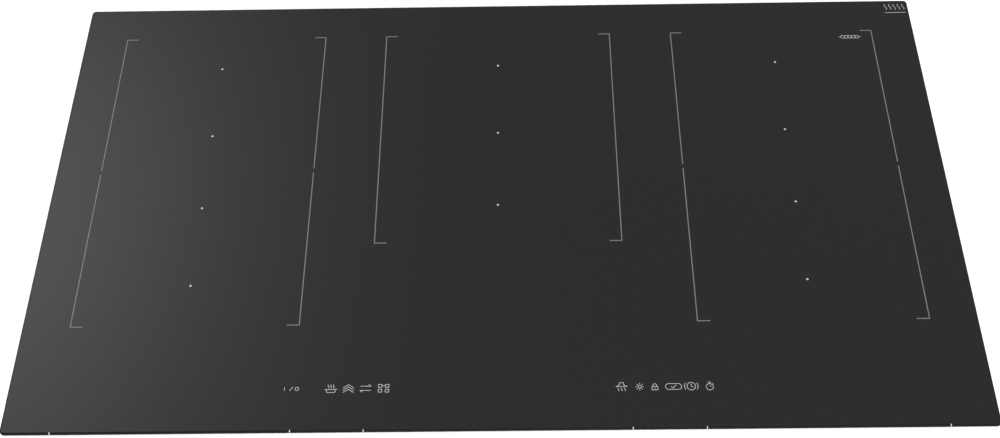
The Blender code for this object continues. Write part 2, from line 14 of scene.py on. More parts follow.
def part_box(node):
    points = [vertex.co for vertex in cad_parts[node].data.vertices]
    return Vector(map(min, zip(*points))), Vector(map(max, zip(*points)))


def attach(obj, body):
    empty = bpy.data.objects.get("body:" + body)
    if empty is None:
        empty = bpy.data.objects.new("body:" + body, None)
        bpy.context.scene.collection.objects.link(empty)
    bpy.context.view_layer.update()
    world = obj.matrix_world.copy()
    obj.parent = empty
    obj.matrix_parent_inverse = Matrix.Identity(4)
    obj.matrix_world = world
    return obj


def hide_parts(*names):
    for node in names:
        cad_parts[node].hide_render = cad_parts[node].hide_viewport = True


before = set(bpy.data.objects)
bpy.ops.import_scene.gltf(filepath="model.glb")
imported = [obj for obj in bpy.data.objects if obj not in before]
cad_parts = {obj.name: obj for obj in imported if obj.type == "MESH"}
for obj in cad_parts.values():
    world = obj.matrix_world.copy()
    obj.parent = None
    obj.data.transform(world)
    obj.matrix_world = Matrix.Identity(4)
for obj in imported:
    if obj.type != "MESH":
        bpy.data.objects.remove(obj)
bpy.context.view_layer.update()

MM = 0.001
CASING = "casing"
REGIONS = ("left", "centre", "right")
CLAMPS = ("front_left", "front_right", "rear_left", "rear_right")

# Camera, placed in the hob's frame
LENS = 51.235
CAMERA_PLACE = (0.0223, -0.8447, 1.2121)
CAMERA_TURN = 1.424
CAMERA_PITCH = 35.234
CAMERA_ROLL = -1.822

# Glass: its print is a thin enamel film that lies within the CAD glass
GLASS_LOW, GLASS_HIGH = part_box("glass_top")
FILM = 0.00005
GLASS_TOP = GLASS_HIGH.z - FILM
GLASS_CORNER = 0.004
ARRIS = 0.0009
ARRIS_REACH = 0.0016
ARRIS_STEPS = 5

# Light: the sky's glow at heights from the horizon to the zenith, then the window and the key light
SKY_STOPS = ((0.06, 1.0), (0.50, 0.44), (0.72, 0.40), (1.0, 0.46))
WINDOW_X = -0.475
WINDOW_Y = 0.684
WINDOW_WIDE = 0.215
WINDOW_DEEP = 0.305
WINDOW_GLOW = 1.36
KEY_FROM = (0.15, -0.62, 0.77)
KEY_ANGLE = 50.0
KEY_POWER = 4.3
FLOOR_RADIUS = 14.0

# Tray
SHEET = 0.001
BEND = 0.0025
BEND_STEPS = 5
TRAY_CORNER = 0.006
STEP_Z = 0.020
BELLY_X = 0.396
BELLY_FRONT = -0.226
BELLY_REAR = 0.186
REGION_X = (-0.2972, 0.0, 0.2972)
FAN_Y = 0.130
INLET_RADIUS = 0.030
VENT = 0.0036
VENT_PITCH = 0.0072
WALL_VENT_Z = 0.0288
WALL_VENT_X = (0.008, 0.078)
FLOOR_VENT_X = 0.035
FLOOR_VENT_Y = -0.172
FLOOR_VENT_PITCH = 0.010
WALL_VENT_ROWS = 3
FLOOR_VENT_ROWS = 4
CLAMP_HOLE = 0.0029
CLAMP_COLLAR = 0.006
COLLAR_HEIGHT = 0.004

# Fasteners
TRAY_SCREW = 0.0034
TRAY_SCREW_HEIGHT = 0.0019
TRAY_SCREW_X = (-0.410, -0.148, 0.148, 0.410)
TRAY_SCREW_Y = (-0.180, 0.0, 0.180)
TRAY_SCREW_Z = 0.0450
CLAMP_HEAD = 0.0033
CLAMP_RECESS = 0.0026
CLAMP_RECESS_WIDTH = 0.0010
CLAMP_RECESS_DEPTH = 0.0018
THREAD_RADIUS = 0.0025
THREAD_DEPTH = 0.0004
THREAD_PITCH = 0.0008
THREAD_STEPS = 8
THREAD_SIDES = 32
THREAD_RUN_OUT = 0.0015

# Clamp arms
ARM_SHEET = 0.002
ARM_PAD = 0.014
ARM_RISE = 0.008

# Terminal box
POLES = 6
TERMINAL_SCREW_Y = (0.2025, 0.2155)
TERMINAL_SCREW_Z = 0.0068
CORD_SCREW_X = 0.011
FINGER_RIBS = 7
FINGER_RIB_PITCH = 0.004

# Boards
BOARD_LOW = 0.006
BOARD_TOP = 0.0076
BOARD_MARGIN = 0.008
SPACER = 0.0030
SPACER_WAIST = 0.0024
FILM_CAPACITOR = (0.010, 0.016, 0.026)
FILM_X = 0.070
FILM_Y = (0.045, 0.0)
FILM_LEAD = 0.013
CAN_RADIUS = 0.011
CAN_HEIGHT = 0.024
CAN_Y = (-0.090, -0.118)
CHOKE_X = 0.066
CHOKE_Y = -0.095
CHOKE_WIRE = 0.0007
RELAY = (0.012, 0.006, 0.012)
RELAY_X = 0.025
RELAY_Y = -0.140
FILTER_MARGIN = (0.005, 0.0045)
FILTER_SPACER = 0.005
FILTER_CHOKE_X = (0.020, 0.055)
FILTER_CHOKE_Y = 0.211
FILTER_CAPACITOR_Y = 0.210
FILTER_CAPACITORS = ((-0.040, 0.012, 0.010), (-0.010, 0.008, 0.012), (0.090, 0.013, 0.009),
                     (0.125, 0.010, 0.014), (0.158, 0.013, 0.010))
KEY_Y = -0.210
KEY_SPRING = 0.0026
KEY_WIRE = 0.0003
KEY_TURNS = 6
DISPLAYS = 5
DISPLAY_PITCH = 0.036
DISPLAY = (0.012, 0.006)
DISPLAY_Y = -0.202

# Seal and coils
SEAL_WIDTH = 0.010
SEAL_CORNER = 0.006
COIL_BORE = 0.0092
COIL_TURNS = 13
COIL_STEPS = 32
COIL_SIDES = 8

# Limits of the stroke maker, and the angles in degrees from which edges are sharp or rounded
MITRE_LIMIT = 0.3
TOUCH = 1e-6
SHARP = 35
BEVELLED = 40

# Range of a noise or cell pattern that shows in a finish
PATTERN = (0.3, 0.7)

# Printed layout
ZONE_OUTER = 0.4062
ZONE_INNER = 0.1882
CENTRE_LINE = 0.1216
LINE_REAR = 0.2168
LINE_FRONT = -0.1492
CENTRE_FRONT = -0.0564
SPLIT_REAR = 0.0369
SPLIT_FRONT = 0.0318
SERIF = 0.012
LINE_WIDTH = 0.0009
MARK_COUNTS = (4, 3, 4)
MARK_RADIUS = 0.0011
MARK_REAR = 0.1728
MARK_PITCH = 0.09225
TICK_WIDTH = 0.0008
TICK_LOW = 0.0014
ICON_WIDTH = 0.0005

# Strokes of one symbol overlap, so each lies a little lower than the one before
LAYER = 0.0000015


# ---- camera, floor and light

def new_object(name, data):
    item = bpy.data.objects.new(name, data)
    bpy.context.scene.collection.objects.link(item)
    return item


def make_camera():
    """In front of the hob and above it, looking down at about 55 degrees, with a slight turn and tilt."""
    data = bpy.data.cameras.new("camera")
    data.sensor_width = 36.0
    data.lens = LENS
    data.clip_start = 0.05
    data.clip_end = 60.0
    camera = new_object("camera", data)
    place = Matrix.Translation(CAMERA_PLACE)
    for angle, axis in ((CAMERA_TURN, "Z"), (CAMERA_PITCH, "X"), (CAMERA_ROLL, "Z")):
        place = place @ Matrix.Rotation(math.radians(angle), 4, axis)
    camera.matrix_world = place
    bpy.context.scene.camera = camera


def make_floor():
    """Pale matt disc that the hob stands on."""
    build = bmesh.new()
    bmesh.ops.create_circle(build, cap_ends=True, segments=96, radius=FLOOR_RADIUS)
    mesh = bpy.data.meshes.new("floor")
    build.to_mesh(mesh)
    build.free()
    floor = new_object("floor", mesh)
    pale = Paint("floor_pale", (0.92, 0.92, 0.92), 0.9)
    pale.set("Specular IOR Level", 0.1)
    mesh.materials.append(pale.material)


def add_node(tree, kind, inputs=None, operation=None):
    """Shader node whose inputs are set to a value each, or linked to another node's output."""
    node = tree.nodes.new(f"ShaderNode{kind}")
    if operation:
        node.operation = operation
    for socket, value in (inputs or {}).items():
        if isinstance(value, bpy.types.NodeSocket):
            tree.links.new(value, node.inputs[socket])
        else:
            node.inputs[socket].default_value = value
    return node


def make_world():
    """Studio surround: bright at the horizon, dimmer overhead, with one soft window high on the left.

    A direction is told by where its line meets a ceiling one metre up, so the window is a plain ellipse.
    """
    world = bpy.data.worlds.new("studio")
    bpy.context.scene.world = world
    world.use_nodes = True
    tree = world.node_tree
    where = add_node(tree, "TexCoord").outputs["Generated"]
    rise = add_node(tree, "SeparateXYZ", {0: where}).outputs["Z"]

    sky = add_node(tree, "ValToRGB", {"Fac": rise})
    sky.color_ramp.interpolation = "EASE"
    for place, _ in SKY_STOPS[2:]:
        sky.color_ramp.elements.new(place)
    for element, (place, glow) in zip(sky.color_ramp.elements, SKY_STOPS):
        element.position = place
        element.color = (glow, glow, glow, 1.0)

    above = add_node(tree, "Math", {0: rise, 1: 0.02}, "MAXIMUM").outputs["Value"]
    height = add_node(tree, "CombineXYZ", {axis: above for axis in range(3)}).outputs["Vector"]
    ceiling = add_node(tree, "VectorMath", {0: where, 1: height}, "DIVIDE").outputs["Vector"]
    window = add_node(tree, "Mapping", {
        "Vector": ceiling,
        "Location": (-WINDOW_X / WINDOW_WIDE, -WINDOW_Y / WINDOW_DEEP, -1.0),
        "Scale": (1 / WINDOW_WIDE, 1 / WINDOW_DEEP, 1.0),
    }).outputs["Vector"]
    square = add_node(tree, "VectorMath", {0: window, 1: window}, "DOT_PRODUCT").outputs["Value"]
    fade = add_node(tree, "Math", {0: square, 1: -1.0}, "MULTIPLY").outputs["Value"]
    lobe = add_node(tree, "Math", {0: fade}, "EXPONENT").outputs["Value"]
    glow = {0: lobe, 1: WINDOW_GLOW, 2: sky.outputs["Color"]}
    total = add_node(tree, "Math", glow, "MULTIPLY_ADD").outputs["Value"]
    background = tree.nodes["Background"]
    background.inputs["Color"].default_value = (1.0, 1.0, 1.0, 1.0)
    tree.links.new(total, background.inputs["Strength"])


def make_key():
    """Very soft light from the front, above the user's head."""
    data = bpy.data.lights.new("key", "SUN")
    data.energy = KEY_POWER
    data.angle = math.radians(KEY_ANGLE)
    key = new_object("key", data)
    key.rotation_euler = Vector(KEY_FROM).to_track_quat("Z", "Y").to_euler()


# ---- outlines and shells

def arc(cx, cy, radius, start, end, steps):
    """Points on an arc, both ends included; angles in radians."""
    angles = [start + (end - start) * i / steps for i in range(steps + 1)]
    return [(cx + radius * math.cos(a), cy + radius * math.sin(a)) for a in angles]


def circle(cx, cy, radius, steps=32):
    return arc(cx, cy, radius, 0.0, 2 * math.pi, steps)[:-1]


def rounded(x0, x1, y0, y1, radius, steps=8):
    """Rectangle with round corners, anticlockwise."""
    corners = ((x1 - radius, y0 + radius), (x1 - radius, y1 - radius),
               (x0 + radius, y1 - radius), (x0 + radius, y0 + radius))
    points = []
    for turn, (cx, cy) in enumerate(corners):
        start = math.pi * (turn - 1) / 2
        points += arc(cx, cy, radius, start, start + math.pi / 2, steps)
    return points


def stacked(levels):
    """Points of outlines, each given with its height, in one list."""
    return [(x, y, z) for outline, z in levels for x, y in outline]


def skin(points, count):
    """Closed shell over rows of points, with a cap on the first row and on the last."""
    faces = [tuple(range(count)), tuple(range(len(points) - count, len(points)))]
    for here in range(0, len(points) - count, count):
        for i in range(count):
            j = (i + 1) % count
            faces.append((here + i, here + j, here + count + j, here + count + i))
    return points, faces


def hoop(points, count):
    """Closed ring over rows of points, the last row joined to the first."""
    faces = []
    for here in range(0, len(points), count):
        there = (here + count) % len(points)
        for i in range(count):
            j = (i + 1) % count
            faces.append((here + i, here + j, there + j, there + i))
    return points, faces


def loft(levels):
    """Closed shell through outlines with equally many points, each given with its height."""
    return skin(stacked(levels), len(levels[0][0]))


def prism(outline, low, high):
    return loft([(outline, low), (outline, high)])


def band(outer, inner, low, high):
    """Ring with a rectangular section between two outlines with equally many points."""
    levels = ((outer, low), (outer, high), (inner, high), (inner, low))
    return hoop(stacked(levels), len(outer))


def sides(points, reach, closed):
    """The two lines that run at a distance on either side of a path, with mitred corners."""
    left, right = [], []
    last = len(points) - 1
    for i, point in enumerate(points):
        here = Vector(point)
        before = here - Vector(points[i - 1]) if i or closed else None
        after = Vector(points[(i + 1) % len(points)]) - here if i < last or closed else None
        before = (before or after).normalized()
        after = (after or before).normalized()
        along = (before + after).normalized()
        side = Vector((-along.y, along.x)) * reach / max(along.dot(before), MITRE_LIMIT)
        left.append(tuple(here + side))
        right.append(tuple(here - side))
    return left, right


def ribbon(points, width, low, high):
    """Flat shell along a path at a constant width; a path that ends where it starts makes a ring."""
    closed = (Vector(points[0]) - Vector(points[-1])).length < TOUCH
    if closed:
        points = points[:-1]
    left, right = sides(points, width / 2, closed)
    if closed:
        return band(left, right, low, high)
    count = len(points)
    corners = [(x, y, z) for z in (low, high) for line in (left, right) for x, y in line]
    faces = []
    for i in range(count - 1):
        under = (i, i + 1, count + i + 1, count + i)
        over = tuple(2 * count + corner for corner in under)
        faces += [under, over]
        faces += [(under[0], under[1], over[1], over[0]), (under[2], under[3], over[3], over[2])]
    for i in (0, count - 1):
        faces.append((i, count + i, 3 * count + i, 2 * count + i))
    return corners, faces


def turned(x, y, profile, steps=32):
    """Closed shell turned round an upright axis, through (radius, height) pairs."""
    return loft([(circle(x, y, radius, steps), z) for radius, z in profile])


def tube(x, y, profile, steps=32):
    """Closed ring turned round an upright axis, through (radius, height) pairs of its section."""
    return hoop(stacked([(circle(x, y, radius, steps), z) for radius, z in profile]), steps)


def slot_outline(u0, u1, v, width, steps=8):
    """Slot along the first axis, with round ends."""
    r = width / 2
    quarter = math.pi / 2
    return arc(u1 - r, v, r, -quarter, quarter, steps) + arc(u0 + r, v, r, quarter, 3 * quarter, steps)


def along_y(shell):
    """Lay a shell down: its outline moves into the XZ plane and its height runs along Y."""
    points, faces = shell
    return [(u, h, v) for u, v, h in points], faces


def along_x(shell):
    """Lay a shell down: its outline moves into the YZ plane and its height runs along X."""
    points, faces = shell
    return [(h, u, v) for u, v, h in points], faces


def swept(path, radius, count=8):
    """Closed round tube along a path in space, turned as little as possible from point to point."""
    spots = [Vector(point) for point in path]
    last = len(spots) - 1
    normal = None
    points = []
    for i, spot in enumerate(spots):
        along = (spots[min(i + 1, last)] - spots[max(i - 1, 0)]).normalized()
        if normal is None:
            normal = along.orthogonal().normalized()
        normal = (normal - along * normal.dot(along)).normalized()
        side = along.cross(normal)
        for j in range(count):
            angle = 2 * math.pi * j / count
            points.append(tuple(spot + (normal * math.cos(angle) + side * math.sin(angle)) * radius))
    return skin(points, count)


def block(x0, x1, y0, y1, low, high, corner=0.0008):
    """Upright block with round corners in plan."""
    return prism(rounded(x0, x1, y0, y1, corner, 3), low, high)


def moved(shell, place):
    points, faces = shell
    return [tuple(place @ Vector(point)) for point in points], faces


# ---- pieces

def shade(mesh):
    """Smooth shading that keeps the edges sharp where faces meet at more than SHARP degrees."""
    mesh.shade_smooth()
    mesh.set_sharp_from_angle(angle=math.radians(SHARP))


def place_mesh(name, mesh, body):
    """Object for a mesh and the body that it rides on."""
    item = new_object(name, mesh)
    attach(item, body)
    return item


def piece(name, shells, paint, body=CASING, bevel=0.0, smooth=True):
    """Visible object made of closed shells in world coordinates, which rides on a body."""
    mesh = bpy.data.meshes.new(name)
    build = bmesh.new()
    for points, faces in shells:
        corners = [build.verts.new(point) for point in points]
        for face in faces:
            build.faces.new([corners[i] for i in face])
    bmesh.ops.recalc_face_normals(build, faces=build.faces)
    build.to_mesh(mesh)
    build.free()
    if smooth:
        shade(mesh)
    mesh.materials.append(paint)
    item = place_mesh(name, mesh, body)
    if bevel:
        soften(item, bevel)
    return item


def carve(item, shells):
    """Cut closed shells out of a piece, and keep its smooth and sharp edges."""
    tool = piece(f"{item.name}_tool", shells, item.data.materials[0], smooth=False)
    step = item.modifiers.new("carve", "BOOLEAN")
    step.operation = "DIFFERENCE"
    step.solver = "EXACT"
    step.object = tool
    graph = bpy.context.evaluated_depsgraph_get()
    mesh = bpy.data.meshes.new_from_object(item.evaluated_get(graph), depsgraph=graph)
    item.modifiers.clear()
    item.data = mesh
    bpy.data.objects.remove(tool)
    shade(mesh)


def soften(item, width):
    """Small round edges wherever faces meet at more than BEVELLED degrees."""
    edge = item.modifiers.new("soft_edges", "BEVEL")
    edge.width = width
    edge.segments = 2
    edge.limit_method = "ANGLE"
    edge.angle_limit = math.radians(BEVELLED)


# ---- materials

class Paint:
    """Node material in the making, with short calls for the nodes that the finishes use."""

    def __init__(self, name, colour, roughness, metallic=0.0):
        self.material = bpy.data.materials.new(name)
        self.material.use_nodes = True
        self.tree = self.material.node_tree
        self.shader = self.tree.nodes["Principled BSDF"]
        self.set("Base Color", (*colour, 1.0))
        self.set("Roughness", roughness)
        self.set("Metallic", metallic)
        self.colour = colour
        self.where = self.node("TexCoord").outputs["Object"]

    def set(self, socket, value):
        self.shader.inputs[socket].default_value = value

    def link(self, output, socket):
        self.tree.links.new(output, self.shader.inputs[socket])

    def node(self, kind, inputs=None):
        return add_node(self.tree, kind, inputs)

    def stretched(self, scale):
        """Object coordinates in metres, scaled by a factor along each axis."""
        return self.node("Mapping", {"Vector": self.where, "Scale": scale}).outputs["Vector"]

    def noise(self, scale, detail=4.0, where=None):
        inputs = {"Vector": where or self.where, "Scale": scale, "Detail": detail}
        return self.node("TexNoise", inputs).outputs["Fac"]

    def cells(self, scale, output="Color"):
        return self.node("TexVoronoi", {"Vector": self.where, "Scale": scale}).outputs[output]

    def rough(self, value, low, high):
        """Roughness from low to high, as a value runs over the PATTERN range."""
        start, end = PATTERN
        inputs = {"Value": value, "From Min": start, "From Max": end, "To Min": low, "To Max": high}
        self.link(self.node("MapRange", inputs).outputs["Result"], "Roughness")

    def tint(self, value, dark, light):
        """Base colour between two shades of the finish's own, as a value runs over the PATTERN range."""
        ramp = self.node("ValToRGB", {"Fac": value})
        for element, place, share in zip(ramp.color_ramp.elements, PATTERN, (dark, light)):
            element.position = place
            element.color = (*[c * share for c in self.colour], 1.0)
        self.link(ramp.outputs["Color"], "Base Color")

    def bump(self, value, depth, strength=1.0):
        """Relief of the given depth in metres."""
        inputs = {"Height": value, "Distance": depth, "Strength": strength}
        self.link(self.node("Bump", inputs).outputs["Normal"], "Normal")


def polished_glass():
    """Black glass ceramic: a deep black body, a clear polish, and a faint film of wiping marks."""
    paint = Paint("glass_polished", (0.0056, 0.0056, 0.0058), 0.05)
    paint.set("IOR", 1.52)
    wiped = paint.noise(1.0, 3.0, paint.stretched((9.0, 30.0, 9.0)))
    paint.rough(wiped, 0.045, 0.085)
    paint.bump(paint.noise(7.0, 1.0), 0.00004, 0.25)
    return paint.material


def ground_glass():
    """Ground arris and edge of the plate: dull, darker than the polished face."""
    paint = Paint("glass_ground", (0.0032, 0.0032, 0.0032), 0.5)
    paint.set("Specular IOR Level", 0.07)
    grind = paint.noise(1.0, 3.0, paint.stretched((900.0, 900.0, 2500.0)))
    paint.rough(grind, 0.42, 0.6)
    paint.bump(grind, 0.00002, 0.5)
    return paint.material


def enamel(name, grey):
    """Fired ceramic print, with a slightly uneven film."""
    paint = Paint(name, (grey, grey, grey), 0.4)
    grain = paint.noise(1800.0, 2.0)
    paint.tint(grain, 0.92, 1.06)
    paint.rough(grain, 0.34, 0.48)
    return paint.material


def galvanised(name, colour=(0.27, 0.275, 0.28)):
    """Zinc-coated sheet: flat crystals in slightly different greys."""
    paint = Paint(name, colour, 0.36, 1.0)
    flakes = paint.node("RGBToBW", {"Color": paint.cells(330.0)}).outputs["Val"]
    paint.tint(flakes, 0.955, 1.035)
    paint.rough(flakes, 0.35, 0.41)
    paint.bump(paint.noise(600.0, 2.0), 0.00003, 0.3)
    return paint.material


def brushed(name, colour, along, roughness=0.34):
    """Rolled or drawn metal, with fine lines along one axis."""
    paint = Paint(name, colour, roughness, 1.0)
    scale = [2200.0, 2200.0, 2200.0]
    scale[along] = 25.0
    lines = paint.noise(1.0, 3.0, paint.stretched(scale))
    paint.tint(lines, 0.86, 1.08)
    paint.rough(lines, roughness - 0.07, roughness + 0.09)
    paint.bump(lines, 0.00002, 0.4)
    return paint.material


def moulded(name, colour, roughness=0.5):
    """Moulded plastic with a fine spark-eroded texture."""
    paint = Paint(name, colour, roughness)
    paint.tint(paint.noise(35.0, 3.0), 0.94, 1.05)
    grain = paint.noise(2600.0, 2.0)
    paint.rough(grain, roughness - 0.06, roughness + 0.1)
    paint.bump(grain, 0.00004, 0.5)
    return paint.material


def foam(name):
    paint = Paint(name, (0.022, 0.022, 0.022), 0.95)
    paint.set("Specular IOR Level", 0.2)
    pores_and_shade = paint.cells(1600.0, "Distance")
    # Painted shade: the foam is darker in the pores, where the same pattern sinks the bump; the bump itself
    # is the pores' real relief
    paint.tint(pores_and_shade, 0.6, 1.3)
    paint.bump(pores_and_shade, 0.0002, 0.7)
    return paint.material


def litz(name):
    """Varnished copper strands wound round the coil."""
    paint = Paint(name, (0.45, 0.17, 0.07), 0.38, 0.85)
    strands = paint.noise(1.0, 3.0, paint.stretched((120.0, 1800.0, 1800.0)))
    paint.tint(strands, 0.7, 1.2)
    paint.rough(strands, 0.3, 0.5)
    paint.bump(strands, 0.0002, 0.6)
    return paint.material


def circuit_board(name):
    """Green lacquer over copper tracks, which show as lighter, raised lines."""
    paint = Paint(name, (0.02, 0.11, 0.05), 0.35)
    tracks = paint.node("TexBrick", {
        "Vector": paint.where, "Scale": 70.0, "Mortar Size": 0.022, "Brick Width": 1.1, "Row Height": 0.16,
        "Color1": (0.016, 0.095, 0.042, 1.0), "Color2": (0.022, 0.125, 0.055, 1.0),
        "Mortar": (0.055, 0.24, 0.10, 1.0),
    })
    paint.link(tracks.outputs["Color"], "Base Color")
    paint.rough(paint.noise(90.0), 0.28, 0.45)
    paint.bump(tracks.outputs["Fac"], 0.00004, 0.5)
    return paint.material


def mica(name):
    paint = Paint(name, (0.60, 0.54, 0.42), 0.55)
    flakes = paint.noise(1.0, 6.0, paint.stretched((60.0, 60.0, 600.0)))
    paint.tint(flakes, 0.85, 1.1)
    paint.rough(flakes, 0.45, 0.65)
    return paint.material


# ---- glass plate and print

def arris(inset, drop, steps):
    """Quarter of a round edge, as (inset, drop) pairs from the side up to the flat."""
    leans = [math.pi / 2 * i / steps for i in range(steps + 1)]
    return [(inset * (1 - math.cos(lean)), drop * (1 - math.sin(lean))) for lean in leans]


def make_glass():
    """Plate with round ground edges: the top and underside are polished, the edge and arris are dull."""
    x0, x1 = GLASS_LOW.x + FILM, GLASS_HIGH.x - FILM
    y0, y1 = GLASS_LOW.y + FILM, GLASS_HIGH.y - FILM
    levels = [(d, GLASS_LOW.z + drop) for d, drop in reversed(arris(ARRIS, ARRIS, ARRIS_STEPS))]
    levels += [(d, GLASS_TOP - drop) for d, drop in arris(ARRIS_REACH, ARRIS, ARRIS_STEPS)]
    loops = [(rounded(x0 + d, x1 - d, y0 + d, y1 - d, GLASS_CORNER - d), z) for d, z in levels]
    plate = piece("glass_plate", [loft(loops)], polished_glass())
    plate.data.materials.append(ground_glass())
    for face in plate.data.polygons:
        if abs(face.normal.z) > 0.99:
            face.use_smooth = False
        else:
            face.material_index = 1
    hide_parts("glass_top")


def zone_lines():
    """Side lines of the zones: a long line with a serif that points into the zone at its closed end."""
    lines = {}
    for side, sign in (("left", -1), ("right", 1)):
        for edge, x, inward in (("outer", sign * ZONE_OUTER, -sign), ("inner", sign * ZONE_INNER, sign)):
            serif = x + inward * SERIF
            for end, near, far in (("rear", SPLIT_REAR, LINE_REAR), ("front", SPLIT_FRONT, LINE_FRONT)):
                lines[f"{side}_{edge}_{end}"] = [(x, near), (x, far), (serif, far)]
    for side, sign in (("left", -1), ("right", 1)):
        x = sign * CENTRE_LINE
        serif = x - sign * SERIF
        near, far = CENTRE_FRONT, LINE_REAR
        lines[f"centre_{side}"] = [(serif, near), (x, near), (x, far), (serif, far)]
    return lines


def make_print():
    """Zone lines, a mark over the middle of each coil, and the ticks on the front edge."""
    grey = enamel("enamel_grey", 0.142)
    light = enamel("enamel_light", 0.41)
    top = GLASS_HIGH.z
    for name, points in zone_lines().items():
        piece(f"zone_line_{name}", [ribbon(points, LINE_WIDTH, GLASS_TOP, top)], grey)
    for region, x, count in zip(REGIONS, REGION_X, MARK_COUNTS):
        dots = [circle(x, MARK_REAR - i * MARK_PITCH, MARK_RADIUS, 24) for i in range(count)]
        piece(f"coil_marks_{region}", [prism(dot, GLASS_TOP, top) for dot in dots], light)
    ticks = [tick(sign * x) for x in (ZONE_OUTER, ZONE_INNER, CENTRE_LINE) for sign in (-1, 1)]
    piece("edge_ticks", ticks, light)


def tick(x):
    """Short mark that climbs the plate's front edge and ends where the arris meets the top."""
    front = GLASS_LOW.y + FILM
    film = []
    for depth in (FILM, -FILM):
        side = [(front - depth, GLASS_LOW.z + TICK_LOW)]
        side += [(front - depth + d, GLASS_TOP + depth - drop) for d, drop in arris(ARRIS_REACH, ARRIS, 6)]
        film.append(side)
    outline = film[0] + film[1][::-1]
    return along_x(prism(outline, x - TICK_WIDTH / 2, x + TICK_WIDTH / 2))


# ---- legends, drawn in millimetres

def ring(u, v, radius):
    return arc(u, v, radius, 0.0, 2 * math.pi, 24)


def wave(u, low, high, swing, steps=12):
    """Upright wavy line."""
    parts = [i / steps for i in range(steps + 1)]
    return [(u + swing * math.sin(2 * math.pi * part), low + (high - low) * part) for part in parts]


def box(u0, u1, v0, v1):
    return [(u0, v0), (u1, v0), (u1, v1), (u0, v1), (u0, v0)]


def on_off():
    return [[(-6.3, -1.8), (-6.3, 1.8)], [(-1.5, -2.0), (1.3, 2.0)], ring(5.2, 0, 1.7)]


def pot():
    body = [(-4, -0.9), (-4, -3.2), (-3.2, -4), (3.2, -4), (4, -3.2), (4, -0.9)]
    return [body, [(-5.8, -0.9), (5.8, -0.9)]] + [wave(u, 0.5, 4.1, 0.5) for u in (-2.4, 0, 2.4)]


def chevrons():
    return [[(-5, v), (0, v + 3.4), (5, v)] for v in (-4.1, -1.7, 0.7)]


def swap():
    half = [(-4.8, 2.2), (4.8, 2.2), (2.8, 4.0)]
    return [half, [(-u, -v) for u, v in half]]


def join_split():
    return [box(-4.8, -1.6, 1.0, 4.0), box(1.6, 4.8, 1.0, 4.0), [(-1.6, 2.5), (1.6, 2.5)],
            box(-4.8, -1.6, -4.0, -1.0), box(1.6, 4.8, -4.0, -1.0)]


def hood():
    outline = [(-1.7, 4.3), (-1.7, 2.3), (-4.9, 0.2), (4.9, 0.2), (1.7, 2.3), (1.7, 4.3), (-1.7, 4.3)]
    return [outline] + [wave(u, -4.3, -1.2, 0.4) for u in (-3, 0, 3)]


def lamp():
    rays = []
    for i in range(8):
        turn = math.pi * i / 4
        rays.append([(reach * math.cos(turn), reach * math.sin(turn)) for reach in (2.4, 3.8)])
    return [ring(0, 0, 1.5)] + rays


def padlock():
    shackle = [(1.6, 0.0)] + arc(0, 1.4, 1.6, 0.0, math.pi, 10) + [(-1.6, 0.0)]
    return [box(-2.7, 2.7, -3.4, 0.0), shackle, [(0, -2.2), (0, -1.2)]]


def confirm():
    pill = arc(4.4, 0, 3, -math.pi / 2, math.pi / 2, 10) + arc(-4.4, 0, 3, math.pi / 2, 3 * math.pi / 2, 10)
    return [pill + pill[:1], [(-2.4, 0.1), (-0.6, -1.5), (2.6, 1.6)]]


def timer():
    swing = math.radians(34)
    calls = [arc(0, 0, 6.2, -swing, swing, 8), arc(0, 0, 6.2, math.pi - swing, math.pi + swing, 8)]
    return [ring(0, 0, 3.9), [(0, 2.4), (0, 0), (1.9, -1.0)]] + calls


def stopwatch():
    crown = [[(-1.4, 4.1), (1.4, 4.1)], [(0, 4.1), (0, 2.5)], [(2.7, 2.5), (3.5, 1.7)]]
    return [ring(0, -0.8, 3.3), [(0, -0.8), (1.5, 0.9)]] + crown


def induction_coil():
    """Coil seen from its side: a row of loops between two short leads."""
    turn = ring(0.0, 0.0, 1.0)
    loops = [[(place + 2.1 * u, 2.0 * v) for u, v in turn] for place in (-7.6, -3.8, 0.0, 3.8, 7.6)]
    return loops + [[(-12.0, 0.0), (-9.7, 0.0)], [(9.7, 0.0), (12.0, 0.0)]]


def hot_surface():
    waves = [wave(u, -3.6, 4.6, 1.1) for u in (-9.6, -4.8, 0, 4.8, 9.6)]
    return waves + [[(-11.5, -8.0), (11.5, -8.0)]]


# Symbols of the touch keys, each with the place of its middle, and those of the rear right corner
KEY_LEGENDS = (
    (on_off, -0.1901, -0.2176), (pot, -0.1535, -0.2177), (chevrons, -0.1375, -0.2178),
    (swap, -0.1217, -0.2177), (join_split, -0.1051, -0.2178), (hood, 0.1132, -0.2187),
    (lamp, 0.1297, -0.2187), (padlock, 0.1436, -0.2188), (confirm, 0.1607, -0.2189),
    (timer, 0.1769, -0.2187), (stopwatch, 0.1938, -0.2187),
)
REAR_LEGENDS = ((induction_coil, 0.3821, 0.2078), (hot_surface, 0.4370, 0.2508))


def make_legends():
    """One piece for each symbol, of one stroke after another."""
    light = enamel("enamel_legend", 0.385)
    for symbol, x, y in KEY_LEGENDS + REAR_LEGENDS:
        strokes = []
        for layer, points in enumerate(symbol()):
            path = [(x + u * MM, y + v * MM) for u, v in points]
            drop = layer * LAYER
            strokes.append(ribbon(path, ICON_WIDTH, GLASS_TOP - drop, GLASS_HIGH.z - drop))
        piece(f"legend_{symbol.__name__}", strokes, light)


# ---- sheet-steel tray

